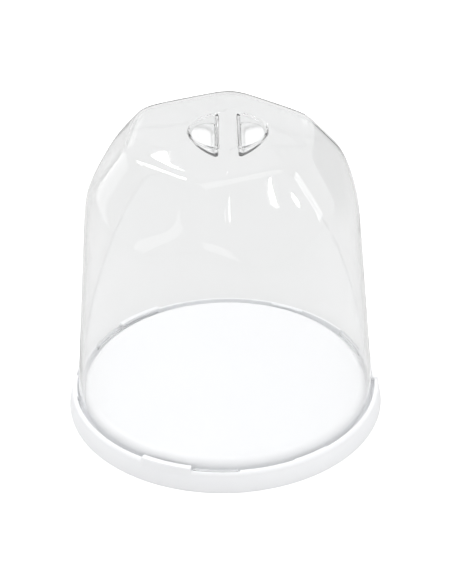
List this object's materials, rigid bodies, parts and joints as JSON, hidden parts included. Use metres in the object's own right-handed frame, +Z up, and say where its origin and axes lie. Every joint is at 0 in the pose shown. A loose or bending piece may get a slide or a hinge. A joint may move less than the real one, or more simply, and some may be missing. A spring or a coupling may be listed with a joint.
{
  "type": "humidity dome tray",
  "caption": "Clear soft-faceted bell dome with a recessed top grip, standing in the groove of a round white base tray with a raised floor and twist-lock hooks.",
  "frame": {"origin": "on the dome's and tray's common axis, at the ground under the skirt", "axes": "+Z up along the axis of the tray and the way the dome lifts; +X to the right seen from the front; +Y to the back, the bar of the grip runs along Y"},
  "size_m": [0.32, 0.32, 0.3047],
  "materials": {
    "white_plastic": "smooth white moulded plastic with a satin sheen",
    "clear_plastic": "clear colourless polished plastic"
  },
  "bodies": {
    "base": {"base_tray": "white_plastic"},
    "dome": {"clear_dome": "clear_plastic"}
  },
  "joints": [
    {"name": "dome_lift", "type": "slide", "parent": "base", "child": "dome", "axis": [0, 0, 1], "range_m": [0, 0.3]}
  ]
}
